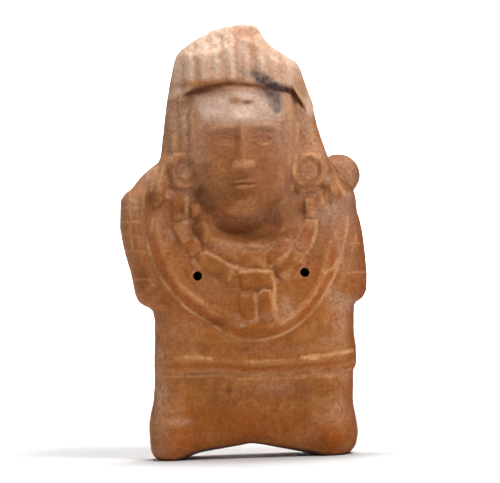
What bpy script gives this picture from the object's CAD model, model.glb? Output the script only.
"""Terracotta rattle in the form of a standing figure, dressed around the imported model.

One hollow piece of fired clay: a front pressed in a mould, a back closed by hand, a knob at one shoulder and
two vents bored through the chest. It follows the order in which a potter would make it.
"""

import math

import bmesh
import bpy
import numpy as np
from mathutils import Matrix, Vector


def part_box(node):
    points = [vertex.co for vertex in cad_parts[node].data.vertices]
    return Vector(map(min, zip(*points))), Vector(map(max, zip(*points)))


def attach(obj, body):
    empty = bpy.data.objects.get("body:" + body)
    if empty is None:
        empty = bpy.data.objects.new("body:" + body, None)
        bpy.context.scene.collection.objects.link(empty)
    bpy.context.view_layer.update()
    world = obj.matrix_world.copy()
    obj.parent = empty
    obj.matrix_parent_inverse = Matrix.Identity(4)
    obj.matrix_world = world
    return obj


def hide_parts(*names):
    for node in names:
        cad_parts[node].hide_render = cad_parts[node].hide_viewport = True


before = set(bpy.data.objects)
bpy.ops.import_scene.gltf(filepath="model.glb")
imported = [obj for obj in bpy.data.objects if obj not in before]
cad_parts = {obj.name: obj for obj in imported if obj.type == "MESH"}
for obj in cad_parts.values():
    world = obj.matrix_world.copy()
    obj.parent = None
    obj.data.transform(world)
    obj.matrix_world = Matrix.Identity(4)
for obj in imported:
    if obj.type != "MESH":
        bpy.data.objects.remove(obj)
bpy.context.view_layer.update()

# The body: one hollow piece of red clay, its front pressed in a worn mould that gave it this outline.
# It is drawn in millimetres: across from left to right, up from the soles, and out from the mould's seam.
figure_low, figure_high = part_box("clay_figure")
DRAWN_LEFT = -48.8
DRAWN_RIGHT = 49.2
DRAWN_FRONT = 31.5
DRAWN_BACK = 20.5
DRAWN_TALL = 172
mm_across = (figure_high.x - figure_low.x) / (DRAWN_RIGHT - DRAWN_LEFT)
mm_out = (figure_high.y - figure_low.y) / (DRAWN_FRONT + DRAWN_BACK)
mm_up = (figure_high.z - figure_low.z) / DRAWN_TALL

# Each side as (up, across), and the feet and the broken top as (across, up)
LEFT_SIDE = [
    (0, -36), (0.9, -37.8), (2.6, -38.9), (5, -39.6), (10, -39.8), (17, -39.3), (25, -37.6), (33, -36.9),
    (40, -37), (47, -36.4), (55, -36.3), (59, -36.9), (60.6, -38.2), (61.6, -40.2), (63.5, -42.4),
    (68, -44), (74, -45), (80, -46.5), (87, -48), (93, -48.8), (99, -48.5), (104, -48), (106, -46.8),
    (109, -43.2), (112, -40.6), (114.5, -38.2), (117.2, -34.6), (118.6, -32.5), (120.5, -31.6),
    (130, -30.2), (140, -28.8), (150, -26.8), (158, -24.9), (161, -24),
]
RIGHT_SIDE = [
    (0, 39), (0.9, 40.5), (2.6, 41.9), (5, 42.9), (9, 43.4), (16, 42.5), (22, 42), (28, 42.2), (33, 42.5),
    (34.6, 43.3), (37, 43.8), (42, 43.9), (48, 43.4), (55, 43.5), (59, 43.9), (60.2, 44.6), (61, 46),
    (62.5, 47.6), (66, 48.9), (72, 49.2), (78, 49), (85, 48.4), (92, 47.3), (97, 46.2), (101, 46),
    (105, 45), (110, 41.4), (115, 37.4), (119, 35), (125, 33.2), (133, 31.2), (140, 30), (146, 28),
    (151, 26.4), (155, 25), (156.4, 24),
]
FOOT_LINE = [
    (-36, 0), (-34, -0.6), (-31, -0.8), (-28, -0.5), (-25, 0.8), (-20, 2.7), (-10, 4.3), (-3, 5.3),
    (0.5, 5.8), (4, 5.4), (10, 4.1), (20, 1.9), (25, 0.7), (28, -0.3), (33, -0.8), (37, -0.5), (39, 0),
]
BROKEN_TOP = [
    (-24, 161), (-21.5, 163.2), (-19, 165), (-13, 168.3), (-8, 170.8), (-3, 171.7), (2, 172), (5.6, 172),
    (8, 171.6), (9.6, 169.8), (10.8, 167.4), (12.2, 165), (15, 162.6), (19, 160), (22, 158), (24, 156.6),
]
FRONT_PROFILE = [
    (0, 18.5), (10, 20.5), (25, 20), (38, 20.5), (52, 22), (66, 22.5), (80, 20.5), (92, 17.5),
    (104, 15.5), (118, 14.5), (135, 15), (150, 15.5), (162, 13), (172, 10),
]
FRONT_SQUARENESS = [(0, 4), (45, 3.8), (62, 3), (85, 2.7), (110, 2.6), (125, 3), (150, 3.2), (172, 3.6)]
COLUMNS = 224
ROWS = 326
ROW_CLOSENESS = [(0, 0.85), (0.28, 0.85), (0.36, 1), (0.55, 1.15), (0.9, 1.1), (1, 1)]
OUTLINE_WAVER = ((7, 0.12), (1.7, 0.07))
TOP_WAVER = ((5, 0.35), (1.3, 0.3))
EDGE_SQUARENESS = 4
SETTLING_ROUNDS = 4
LATTICE = 128
TYPICAL_SECTION = (0.45, 0.67)


def along(points, where):
    """Values of a smooth line through (place, value) points, which never swings past them."""
    place, value = np.array(points, float).T
    step = np.diff(place)
    slope = np.diff(value) / step
    tangent = np.zeros(len(place))
    tangent[0] = slope[0]
    tangent[-1] = slope[-1]
    same_way = slope[1:] * slope[:-1] > 0
    total = np.where(same_way, slope[1:] + slope[:-1], 1)
    tangent[1:-1] = np.where(same_way, 2 * slope[1:] * slope[:-1] / total, 0)
    where = np.clip(where, place[0], place[-1])
    span = np.clip(np.searchsorted(place, where) - 1, 0, len(step) - 1)
    width = step[span]
    t = (where - place[span]) / width
    rest = 1 - t
    return (
        value[span] * rest * rest * (1 + 2 * t)
        + value[span + 1] * t * t * (3 - 2 * t)
        + tangent[span] * width * t * rest * rest
        - tangent[span + 1] * width * t * t * rest
    )


def lumps(x, z, size, seed):
    """Soft unevenness from -1 to 1, with lumps about as far apart as their size."""
    lattice = np.random.default_rng(seed).uniform(-1, 1, (LATTICE, LATTICE))
    column = np.floor(x / size).astype(int)
    row = np.floor(z / size).astype(int)
    u = x / size - column
    v = z / size - row
    u = u * u * (3 - 2 * u)
    v = v * v * (3 - 2 * v)
    left = column % LATTICE
    right = (column + 1) % LATTICE
    below = row % LATTICE
    above = (row + 1) % LATTICE
    low = lattice[left, below] * (1 - u) + lattice[right, below] * u
    high = lattice[left, above] * (1 - u) + lattice[right, above] * u
    return low * (1 - v) + high * v


def wavering(side, z, seed):
    """One side of the outline, as a hand leaves it."""
    return along(side, z) + sum(height * lumps(0 * z, z, size, seed) for size, height in OUTLINE_WAVER)


def across(x, z):
    """How far across the figure a point is, from -1 at its left outline to 1 at its right one."""
    left = wavering(LEFT_SIDE, z, 1)
    right = wavering(RIGHT_SIDE, z, 2)
    return np.clip((2 * x - left - right) / (right - left), -1, 1)


def section(share, squareness):
    """Depth across a section, from 1 in its middle to nought at its sides."""
    return np.maximum(1 - np.abs(share) ** squareness, 0) ** (1 / squareness)


def evenly_round(count):
    """Places from -1 to 1 that are spread evenly round a typical section, closer together at its sides."""
    depth, roundness = TYPICAL_SECTION
    turn = np.linspace(-math.pi / 2, math.pi / 2, 4001)
    over = np.sign(np.sin(turn)) * np.abs(np.sin(turn)) ** roundness
    out = depth * np.abs(np.cos(turn)) ** roundness
    walked = np.concatenate([[0], np.cumsum(np.hypot(np.diff(over), np.diff(out)))])
    return np.interp(np.linspace(0, walked[-1], count), walked, over)


row_share = np.linspace(0, 1, 400)
walked_up = np.concatenate([[0], np.cumsum(np.interp(row_share[1:], *np.array(ROW_CLOSENESS).T))])
level = np.interp(np.linspace(0, walked_up[-1], ROWS), walked_up, row_share)[:, None]
spread = (evenly_round(COLUMNS)[None, :] + 1) / 2
Z = LEFT_SIDE[-1][0] * level + 0 * spread
for _ in range(SETTLING_ROUNDS):
    left_x = wavering(LEFT_SIDE, Z, 1)
    X = left_x + (wavering(RIGHT_SIDE, Z, 2) - left_x) * spread
    sole_z = along(FOOT_LINE, X[:1])
    broken_z = along(BROKEN_TOP, X[-1:])
    for size, height in TOP_WAVER:
        broken_z = broken_z - height * (1 + lumps(X[-1:], 0 * X[-1:], size, 3)) / 2
    Z = sole_z + (broken_z - sole_z) * level
left_x = wavering(LEFT_SIDE, Z, 1)
X = left_x + (wavering(RIGHT_SIDE, Z, 2) - left_x) * spread
edge = section(across(X, Z), EDGE_SQUARENESS)

# The head and its tall headdress, pressed with the body: a dome for the face under a fluted crown whose brim
# stands a little proud. The crown's top and right side are broken off, and nothing of them is restored.
HEAD_MIDDLE = 1.5
HEAD_HALF_WIDTH = 21.5
HEAD_BASE_DEPTH = 12.5
HEAD_RISE = 14.6
HEAD_SQUARENESS = (2.3, 2.5)
HEAD_FALL = 3
HAIRLINE = 148
CHIN = 98
PAST_HAIRLINE = 14
PAST_CHIN = 3
NECK_HOLLOW = (1.8, 5, 16, 9, 5, 7)
BLUNT_EDGE_SQUARENESS = 5
BRIM_LINE = [
    (-27, 142), (-20.5, 144.8), (-16, 146.7), (-4, 148.4), (1, 148), (6, 146.9), (12, 146), (17.4, 145.6),
    (21.8, 145), (23.7, 142.4), (26.2, 138.4), (27.8, 134),
]
CROWN_DEPTH = [(136, 22), (148, 25.6), (156, 24.6), (164, 21.6), (172, 17)]
CROWN_MIDDLE = 0.6
CROWN_HALF_WIDTH = 28
CROWN_SQUARENESS = 2.8
FLUTE_RIDGES = (-24, -18.8, -13, -7.8, -2.2, 4, 9.6, 15.4, 21)
FLUTE_DEPTH = 1.5
BRIM_GROOVE = 0.9
CROWN_RUNS_ON = ((-16.5, -22, 122, 147), (24, 26, 118, 141))
TEMPLE_FILLS = [((-21, 131), (4.2, 19), 5), ((21, 126), (3, 15), 3.2)]
BREAK_EDGE = [
    (-24, 160.4), (-10, 160.8), (-3, 163.5), (3, 166), (7, 163), (12, 159.4), (18, 156), (24, 153.2),
]
BREAK_SLOPE = 0.3
BREAK_STEP = 0.45
BREAK_ROUGHNESS = ((3.2, 0.4, 37), (1.5, 0.35, 38), (0.9, 0.2, 39))


def ramp(value, low, high):
    """Goes smoothly from 0 at the first place to 1 at the second one."""
    t = np.clip((value - low) / (high - low), 0, 1)
    return t * t * (3 - 2 * t)


def swell(distance, height, edge):
    """A form that rises from its outline, where distance is nought, to its full height an edge inside it."""
    return height * ramp(-distance, 0, edge)


def soft_max(a, b, blend):
    """The higher of two surfaces, with a fillet where they meet."""
    share = np.clip(0.5 + 0.5 * (a - b) / blend, 0, 1)
    return b + (a - b) * share + blend * share * (1 - share)


def oval(x, z, centre, radii):
    """Distance outside an oval, negative inside it."""
    over = (x - centre[0]) / radii[0]
    up = (z - centre[1]) / radii[1]
    size = np.sqrt(over**2 + up**2) + 1e-9
    steepness = np.sqrt((over / radii[0]) ** 2 + (up / radii[1]) ** 2) / size + 1e-9
    return (size - 1) / steepness


def head_dome(x, z):
    """Dome that the face is modelled on."""
    top = HAIRLINE + PAST_HAIRLINE
    bottom = CHIN - PAST_CHIN
    over = (x - HEAD_MIDDLE) / HEAD_HALF_WIDTH
    up = (2 * z - top - bottom) / (top - bottom)
    away = np.abs(over) ** HEAD_SQUARENESS[0] + np.abs(up) ** HEAD_SQUARENESS[1]
    dome = HEAD_RISE * np.sqrt(np.maximum(1 - away, 0))
    return HEAD_BASE_DEPTH + dome - HEAD_FALL * np.maximum(away - 1, 0)


def mound(x, z, centre, radii, height):
    """Soft round rise, or a hollow where the height is negative."""
    return height * np.exp(-(((x - centre[0]) / radii[0]) ** 2) - ((z - centre[1]) / radii[1]) ** 2)


def roughness(x, z, grades):
    """Unevenness of several grades, each a size, a height and its own seed."""
    return sum(height * lumps(x, z, size, seed) for size, height, seed in grades)


def plain_front(x, z):
    """The plain masses of the front: body, neck, head and headdress."""
    hollow_x, below_chin, half_width, half_height, hollow_depth, hollow_edge = NECK_HOLLOW
    form = along(FRONT_PROFILE, z) * section(across(x, z), along(FRONT_SQUARENESS, z))
    outside_hollow = oval(x, z, (hollow_x, CHIN - below_chin), (half_width, half_height))
    form = form - swell(outside_hollow, hollow_depth, hollow_edge)
    blunt_edge = section(across(x, z), BLUNT_EDGE_SQUARENESS)
    form = soft_max(form, head_dome(x, z) * blunt_edge, 1.5)
    form = form + sum(mound(x, z, *fill) for fill in TEMPLE_FILLS)
    crown_share = np.clip(0.5 + (z - along(BRIM_LINE, x)) / 1.3, 0, 1)
    for inner_x, outer_x, low_z, high_z in CROWN_RUNS_ON:
        crown_share = np.maximum(crown_share, ramp(x, inner_x, outer_x) * ramp(z, low_z, high_z))
    crown = along(CROWN_DEPTH, z) * section((x - CROWN_MIDDLE) / CROWN_HALF_WIDTH, CROWN_SQUARENESS)
    return soft_max(form, crown * crown_share * blunt_edge, 0.8)


front = plain_front(X, Z)
above_brim = Z - along(BRIM_LINE, X)
below_brim = np.clip(-above_brim / 1.5, 0, 1)
on_head = np.clip((head_dome(X, Z) - front + 1.2) / 1.2, 0, 1)

nearest_ridge = np.min([np.abs(X - ridge - 0.4 * lumps(X * 0, Z, 9, 4)) for ridge in FLUTE_RIDGES], axis=0)
ridge = (1 - ramp(nearest_ridge, 0, 2.7)) * (0.65 + 0.35 * lumps(X, Z, 6, 5))
past_break = Z - along(BREAK_EDGE, X) + 0.8 * lumps(X, Z, 4, 12)
broken = ramp(past_break, -0.4, 1.2)
relief = FLUTE_DEPTH * ridge * np.clip(above_brim / 2.5, 0, 1) * (1 - broken)
broken_off = BREAK_STEP + BREAK_SLOPE * np.clip(past_break, 0, 6) + roughness(X, Z, BREAK_ROUGHNESS)
relief = relief - broken * broken_off
groove_reach = np.abs(above_brim + 0.5) - 0.35 - 0.3 * ramp(X, 6, 22)
relief = relief - swell(groove_reach, BRIM_GROOVE, 0.6) * ramp(X, -22, -19) * (1 - ramp(X, 26, 28))

# The face: a calm one on a drawing book's proportions, in three equal parts from hairline to chin and five
# eyes wide. It was pressed with the head, and its edges are as worn as the rest.
NOSE_WIDTH = 2.3
NOSE_RISE = 1.2
NOSE_TIP_RISE = 3.7
ORNAMENT = ((-1.3, 141.6, 1.9, 1.4), (3.4, 141.1, 2.1, 1.2))
side = np.abs(X - HEAD_MIDDLE)
third = (HAIRLINE - CHIN) / 3
eye = HEAD_HALF_WIDTH * 2 / 5.4
brow_z = CHIN + 2 * third - 0.5
eye_z = brow_z - 0.3 * third
nose_z = CHIN + third
mouth_z = CHIN + third * 0.64


def band(distance, half_width):
    """Soft line where a distance is nought."""
    return np.exp(-((distance / half_width) ** 2))


face_forms = [
    ((eye, eye_z + 0.7), (5.8, 3.9), -2.6),  # eye socket
    ((eye * 0.46, eye_z + 1), (1.9, 3.2), -0.8),  # inner corner of the eye
    ((eye, eye_z - 0.2), (3.6, 2.6), 2),  # eyeball
    ((eye * 0.42, nose_z + 1.7), (1.5, 1.6), 1.7),  # wing of the nose
    ((eye * 0.66, nose_z + 1.9), (0.8, 1.8), -0.45),  # crease beside the wing
    ((0, nose_z - 2.6), (0.9, 1.7), -0.35),  # groove above the lips
    ((eye * 0.86, mouth_z), (1.5, 1.5), -0.5),  # corner of the mouth
    ((0, mouth_z + 0.4), (eye * 0.9, third * 0.28), 1),  # fullness round the mouth
    ((0, mouth_z - 4.3), (4.2, 1.1), -0.5),  # hollow under the lips
    ((0, CHIN + 4), (6, 3.8), 1.9),  # chin
    ((eye * 1.3, nose_z + 3), (5.2, 6.5), 1.2),  # cheek
]
face = sum(mound(side, Z, *form) for form in face_forms)
brow_arch = Z - brow_z - 0.8 + 0.035 * (side - eye * 0.95) ** 2
face = face + 1.2 * band(brow_arch, 1.9) * ramp(side, 1, 4.5) * (1 - ramp(side, eye * 1.4, eye * 2.05))
lids = np.abs(Z - eye_z) - 1.5 * np.maximum(1 - ((side - eye) / 4) ** 2, -1)
face = face + 0.75 * band(lids - 0.6, 0.6) * (1 - ramp(np.abs(side - eye), 3.6, 5)) - swell(lids, 0.5, 0.7)
bridge = np.clip((brow_z + 2 - Z) / (brow_z + 2 - nose_z), 0, 1)
nose = (NOSE_RISE + NOSE_TIP_RISE * bridge**1.25) * band(side, NOSE_WIDTH + (eye * 0.42 - 1.6) * bridge**1.8)
face = face + nose * ramp(Z, nose_z - 1.1, nose_z + 1.1) * (1 - ramp(Z, brow_z + 0.5, brow_z + 5))
lip = np.clip(1 - (side / (eye * 0.84)) ** 2, 0, 1)
upper_lip = np.abs(Z - mouth_z - 1.05 * lip - 0.1) - 0.95 * lip * (1 - 0.25 * band(side, 1.2))
lower_lip = np.abs(Z - mouth_z + 1.45 * lip) - 1.25 * lip
face = face + (swell(upper_lip, 1.1, 1) + swell(lower_lip, 1.3, 1.3)) * np.sqrt(lip)
face = face - swell(np.maximum(np.abs(Z - mouth_z + 0.1) - 0.45, side - eye * 0.76), 0.8, 0.5)
for ornament_x, ornament_z, half_long, half_high in ORNAMENT:
    face = face + swell(oval(X, Z, (ornament_x, ornament_z), (half_long, half_high)), 0.6, 0.9)
relief = relief + face * below_brim * on_head

# The hair: a long lock of three strands down each side of the face, its tips knotted on the shoulders.
# The left lock runs up into the headdress. Both were pressed in the mould.
LEFT_LOCK = [(-26.4, 160, 2.6), (-26.9, 140, 3), (-28.4, 122, 3.9), (-31, 112, 4), (-33.2, 105, 3.9)]
RIGHT_LOCK = [(24.4, 150, 3), (26.4, 136, 3.8), (30, 122, 3.8), (33.4, 112, 3.6), (36.4, 105, 3.8)]
LOCK_RISE = 2.8
STRAND_HALF_WIDTH = 1.3
STRAND_GROOVE = 0.8
TIP_RISE = 0.7
LOCK_TIPS = [(-33, 103.8, 4.1), (36.8, 103.8, 4.2), (34.4, 109.6, 1.9)]


def strip(x, z, path):
    """Distance outside a band that runs through (across, up, half width) points."""
    nearest = np.full(np.shape(x), np.inf)
    for (x0, z0, half0), (x1, z1, half1) in zip(path, path[1:]):
        run_x = x1 - x0
        run_z = z1 - z0
        t = np.clip(((x - x0) * run_x + (z - z0) * run_z) / (run_x**2 + run_z**2), 0, 1)
        reach = np.hypot(x - x0 - t * run_x, z - z0 - t * run_z)
        nearest = np.minimum(nearest, reach - half0 - t * (half1 - half0))
    return nearest


hair = np.zeros_like(X)
strand_line = np.full_like(X, np.inf)
for path in (LEFT_LOCK, RIGHT_LOCK):
    hair = np.maximum(hair, swell(strip(X, Z, path), LOCK_RISE, 2.6))
    off_middle = strip(X, Z, [(px, pz, 0) for px, pz, _ in path])
    strand_line = np.minimum(strand_line, np.abs(off_middle - STRAND_HALF_WIDTH))
hair = hair - swell(strand_line - 0.55, STRAND_GROOVE, 0.7)
for tip_x, tip_z, radius in LOCK_TIPS:
    hair = np.maximum(hair, swell(oval(X, Z, (tip_x, tip_z), (radius, radius)), LOCK_RISE + TIP_RISE, radius))
relief = relief + hair * (1 - on_head) * (1 - ramp(above_brim, -2, 5) * ramp(X, -18, 0))

# The collar: a wide oval of cloth or plates with a thick rolled rim, pressed round the shoulders and chest.
# Its rim stands about two millimetres proud, with a worn groove outside it.
COLLAR_CENTRE = (1.6, 100)
COLLAR_RADII = (40.4, 53.8)
COLLAR_PROFILE = [
    (-9, 0), (-6.8, 0.4), (-5.6, 1.35), (-4.8, 1.5), (-1.4, 0.85), (-0.2, 0.1), (0.8, -0.5), (3.4, 0),
]
COLLAR_TOP = (108, 117)
COLLAR_DENTS = [((-15, 53), (13, 12), 3.2), ((-29, 66), (9, 12), 1.3), ((22, 54), (13, 12), -0.3)]
outside_collar = oval(X, Z, COLLAR_CENTRE, COLLAR_RADII) + 0.35 * lumps(X, Z, 11, 6)
outside_collar = outside_collar + sum(mound(X, Z, *dent) for dent in COLLAR_DENTS)
collar_share = 1 - ramp(Z, *COLLAR_TOP)
collar = along(COLLAR_PROFILE, outside_collar) * collar_share

# The necklace: two strings of bar beads that lie close together round the neck, and a pendant of one bar and
# two tabs. A bead is (across, up, length, width, turn in degrees).
BEAD_RISE = 1.6
BEAD_EDGE = 1.9
BEAD_SPREAD = 0.55
BEAD_CORNER = 1.8
INNER_BEADS = [
    (-18.3, 98.6, 6.6, 5.4, 90), (-15.4, 90.2, 10.4, 6.4, -58), (-6.4, 82.3, 13.6, 7.2, -25),
    (4.1, 78, 10.6, 6.6, 0), (14.6, 81.2, 11.8, 7, 46), (25.1, 87.3, 12.8, 6.2, 70),
    (27.4, 98.6, 9.6, 5.4, 88),
]
OUTER_BEADS = [
    (-24.9, 99.2, 9.4, 5.4, 88), (-23.6, 89.8, 9.8, 6.2, -62), (-19.4, 83.6, 6, 5.6, -50),
    (-10.8, 76, 16.4, 7.4, -28), (18.2, 75.6, 12.6, 7.2, 48), (32.4, 101, 8.4, 4.4, 88),
]
FAINT_BEADS = [(32.2, 85.6, 15.4, 7, 74)]
FAINT_RISE = 0.5
PENDANT_BAR = (5.2, 70.6, 14, 7, 0)
PENDANT_TABS = [(0.9, 60.8, 12.2, 6.4, 90), (8, 60.8, 12.4, 5.6, 90)]
NECKLINE = [
    (-16, 92, 0.9), (-13, 88, 0.9), (-5, 86, 1), (1, 84.2, 1), (8, 83.2, 1), (12, 85, 1), (18, 88, 0.9),
]


def slab(x, z, bead, corner):
    """Distance outside a bead with round corners, turned about its centre."""
    centre_x, centre_z, length, width, turn = bead
    turn = math.radians(turn)
    over = (x - centre_x) * math.cos(turn) + (z - centre_z) * math.sin(turn)
    up = (z - centre_z) * math.cos(turn) - (x - centre_x) * math.sin(turn)
    over = np.abs(over) - length / 2 + corner
    up = np.abs(up) - width / 2 + corner
    outside = np.hypot(np.maximum(over, 0), np.maximum(up, 0))
    return outside + np.minimum(np.maximum(over, up), 0) - corner


necklace = np.zeros_like(X)
outside_bead = np.full_like(X, np.inf)
for k, bead in enumerate(INNER_BEADS + OUTER_BEADS + [PENDANT_BAR] + PENDANT_TABS + FAINT_BEADS):
    reach = slab(X, Z, bead, BEAD_CORNER) - BEAD_SPREAD + 0.4 * lumps(X, Z, 3, 20 + k)
    rise = FAINT_RISE if bead in FAINT_BEADS else BEAD_RISE
    necklace = np.maximum(necklace, swell(reach, rise, BEAD_EDGE) + swell(reach + BEAD_EDGE, 0.15 * rise, 2))
    if bead not in FAINT_BEADS:
        outside_bead = np.minimum(outside_bead, reach)
necklace = necklace * (1 - 0.3 * ramp(66 - Z, 0, 3))
neckline = swell(strip(X, Z, NECKLINE), 0.8, 1.1)
relief = relief + (collar + necklace + neckline) * (1 - on_head)

# The sleeves: short ones outside the collar, with a hem under each, crossed by lines pressed in blocks.
SLEEVE_MIDDLE = 0.8
SLEEVE_TOP = 116
SLEEVE_HEM = [(34, 69), (38, 66), (43, 63.5), (47, 61.5)]
SLEEVE_RISE = 1.1
SLEEVE_LINES = (72, 83.6, 89.5, 95.2, 101)
SLEEVE_COLUMN = 44.6
SLEEVE_GROOVE = 0.45
sleeve_side = np.abs(X - SLEEVE_MIDDLE)
sleeve_edge = np.maximum(1.5 - outside_collar, along(SLEEVE_HEM, sleeve_side) - Z)
sleeve_edge = np.maximum(sleeve_edge, Z - SLEEVE_TOP)
waver = 0.4 * lumps(X, Z, 4, 7)
block_line = np.abs(sleeve_side - SLEEVE_COLUMN + waver) + np.maximum(SLEEVE_LINES[1] - Z, 0)
for sleeve_line in SLEEVE_LINES:
    block_line = np.minimum(block_line, np.abs(Z - sleeve_line + waver))
on_sleeve = np.clip(-sleeve_edge / 2, 0, 1)
relief = relief + swell(sleeve_edge, SLEEVE_RISE, 3) - swell(block_line - 0.8, SLEEVE_GROOVE, 0.8) * on_sleeve

# The tunic's hem, a soft ledge across the thighs, and below it the two legs and blunt feet that it stands on.
HEM_LINE = [(-37, 40), (-14, 39.5), (0, 38.1), (20, 38.4), (35, 39.3), (44, 40.7)]
HEM_PROFILE = [
    (-15, 0), (-9, -0.2), (-6.8, -0.8), (-5.6, -0.85), (-1.8, 0.6), (-0.4, 1), (1.6, 0.7), (5, 0.15), (9, 0),
]
LEGS = [(-32, 10), (34, 11)]
LEG_SIDE = 10
LEG_FADE = (10, 33)
LEG_RISE = 3.2
FEET = [(-31, 7.5, 11, 10), (33, 7, 11.5, 9.5)]
FOOT_RISE = 1.5
above_hem = Z - along(HEM_LINE, X) + 0.4 * lumps(X, Z, 8, 8)
relief = relief + along(HEM_PROFILE, above_hem)
for leg_x, leg_half in LEGS:
    leg_reach = np.abs(X - leg_x) - leg_half + 0.8 * lumps(X, Z, 9, 9)
    relief = relief + swell(leg_reach, LEG_RISE, LEG_SIDE) * (1 - ramp(Z, *LEG_FADE))
for foot_x, foot_z, half_wide, half_high in FEET:
    relief = relief + swell(oval(X, Z, (foot_x, foot_z), (half_wide, half_high)), FOOT_RISE, 9)
front = front + relief * edge

# The ear ornaments: a round disc beside each cheek, with a raised rim, a sunk ring and a boss in its middle.
EAR_DISCS = [(-21.6, 114.8, 6.6, 2.8, 0.65), (27.4, 113, 6.4, 2.8, 0.25)]
EAR_DISC_DEPTH = 16.8
EAR_DISC_TILT = 0.25
EAR_DISC_STEEPNESS = 1.4
boss_dust = np.zeros_like(X)
for disc_x, disc_z, radius, boss, dusty in EAR_DISCS:
    away = np.hypot(X - disc_x, Z - disc_z)
    plate = EAR_DISC_DEPTH - EAR_DISC_TILT * (X - disc_x) * np.sign(disc_x)
    plate = plate - swell(np.abs(away - (radius + boss) / 2 + 0.4) - 1.3, 0.5, 1.6)
    plate = plate + swell(away - boss, 0.4, boss)
    front = soft_max(front, plate - EAR_DISC_STEEPNESS * np.maximum(away - radius, 0), 1.6)
    boss_dust = np.maximum(boss_dust, dusty * (1 - ramp(away, boss - 0.8, boss + 0.2)))
    boss_dust = np.maximum(boss_dust, 0.75 * band(away - boss, 0.5))
front = np.maximum(front, 0) * (edge > 0)

# Wear: a thousand years of rubbing and burial have rounded each ridge, pitted the skin, chipped the rims and
# scratched the lap, on top of the unevenness that the mould and the potter's hands left.
RUB_PASSES = 3
RIDGES_LEFT = 0.35
GROOVES_LEFT = 0.8
HOLLOW_PASSES = 26
SKIN_LUMPS = ((13, 0.35, 30), (5.5, 0.17, 31), (2.4, 0.1, 32), (1.1, 0.055, 33))
CROWN_ROUGHNESS = 0.2
NAMED_PITS = [
    (-6.7, 158.5, 0.9, 0.8), (-0.5, 56, 1.2, 0.6), (-31.5, 83, 0.8, 0.45), (-32.6, 81.8, 0.7, 0.4),
    (-30.4, 82.2, 0.6, 0.4), (-25.5, 46.5, 0.6, 0.4), (5, 39, 0.7, 0.4), (-7.5, 27, 1.3, 0.45),
    (14.5, 10.5, 0.8, 0.4), (13.6, 12, 0.5, 0.35), (19, 28, 0.6, 0.35), (0.5, 43, 1, 0.3),
    (34, 74.2, 1.4, 0.7), (36, 76, 1, 0.6), (31.8, 74.6, 0.8, 0.4),
]
SCATTERED_PITS = 210
SCRATCHES = [
    (8, 32.2, 20, 31.6), (9, 33.6, 17, 33.2), (37, 32.4, 38.6, 28.6), (38.4, 33, 40.4, 28),
    (36, 31, 41, 31.6), (31.4, 43.4, 36, 47), (32.6, 42.8, 36.8, 45.6), (30.8, 44.8, 34.6, 47.6),
    (-20, 47, -20.4, 42), (-6, 51, 2, 50.4), (24, 43, 27, 48), (-12, 60, -4, 61),
]


def rubbed(depth, passes):
    """Evens a surface out with its neighbours."""
    depth = depth.copy()
    for _ in range(passes):
        depth[1:-1] = (depth[:-2] + 2 * depth[1:-1] + depth[2:]) / 4
        depth[:, 1:-1] = (depth[:, :-2] + 2 * depth[:, 1:-1] + depth[:, 2:]) / 4
    return depth


evened = rubbed(front, RUB_PASSES)
proud = front - evened
front = evened + np.where(proud > 0, RIDGES_LEFT, GROOVES_LEFT) * proud
sunk = rubbed(front, HOLLOW_PASSES) - front

uneven = roughness(X, Z, SKIN_LUMPS)
on_crown = ramp(above_brim, 0, 3)
uneven = uneven + CROWN_ROUGHNESS * on_crown * (lumps(X, Z, 1.6, 34) + 0.7 * lumps(X, Z, 0.8, 35))
chance = np.random.default_rng(36)
pits = [
    (chance.uniform(-42, 42), chance.uniform(4, 168), chance.uniform(0.35, 0.75), chance.uniform(0.1, 0.3))
    for _ in range(SCATTERED_PITS)
]
pitted = np.zeros_like(X)
for pit_x, pit_z, radius, deep in NAMED_PITS + pits:
    near = (np.abs(X - pit_x) < 3 * radius) & (np.abs(Z - pit_z) < 3 * radius)
    pitted[near] += mound(X[near], Z[near], (pit_x, pit_z), (radius, radius), deep)
scratched = np.zeros_like(X)
for from_x, from_z, to_x, to_z in SCRATCHES:
    beside = strip(X, Z, [(from_x, from_z, 0.1), (to_x, to_z, 0.1)]) - 0.4
    scratched = np.maximum(scratched, swell(beside, 0.22, 0.4))
front = front + (uneven - pitted - scratched) * np.clip(edge * 1.5, 0, 1)

# The back: a plain curved wall of clay laid over the open mould and smoothed by hand. A shallow seam shows
# where it was pinched to the front, and the potter's fingers left long dents.
BACK_PROFILE = [
    (0, 17), (12, 19.5), (38, 20.5), (70, 20), (96, 18), (120, 16.5), (142, 14.5), (160, 11), (172, 8.5),
]
BACK_SQUARENESS = 2.7
BACK_LUMPS = ((17, 0.5, 40), (7, 0.22, 41), (2.6, 0.08, 42))
BACK_INSET = 0.6
SEAM_PLACE = 0.93
SEAM_DEPTH = 0.5
STROKE_PITCH = 9


def plain_back(x, z):
    """The back before the hand marked it."""
    return along(BACK_PROFILE, z) * section(across(x, z), BACK_SQUARENESS)


fingered = 0.35 * np.sin(2 * math.pi * (X + 2.5 * lumps(X, Z, 24, 43)) / STROKE_PITCH) * ramp(Z, 10, 30)
seam = swell(np.abs(np.abs(across(X, Z)) - SEAM_PLACE) - 0.012, SEAM_DEPTH, 0.02)
seam = seam * (0.6 + 0.4 * lumps(X, Z, 7, 44))
back = plain_back(X, Z) + (roughness(X, Z, BACK_LUMPS) + fingered - seam - BACK_INSET) * edge

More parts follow.
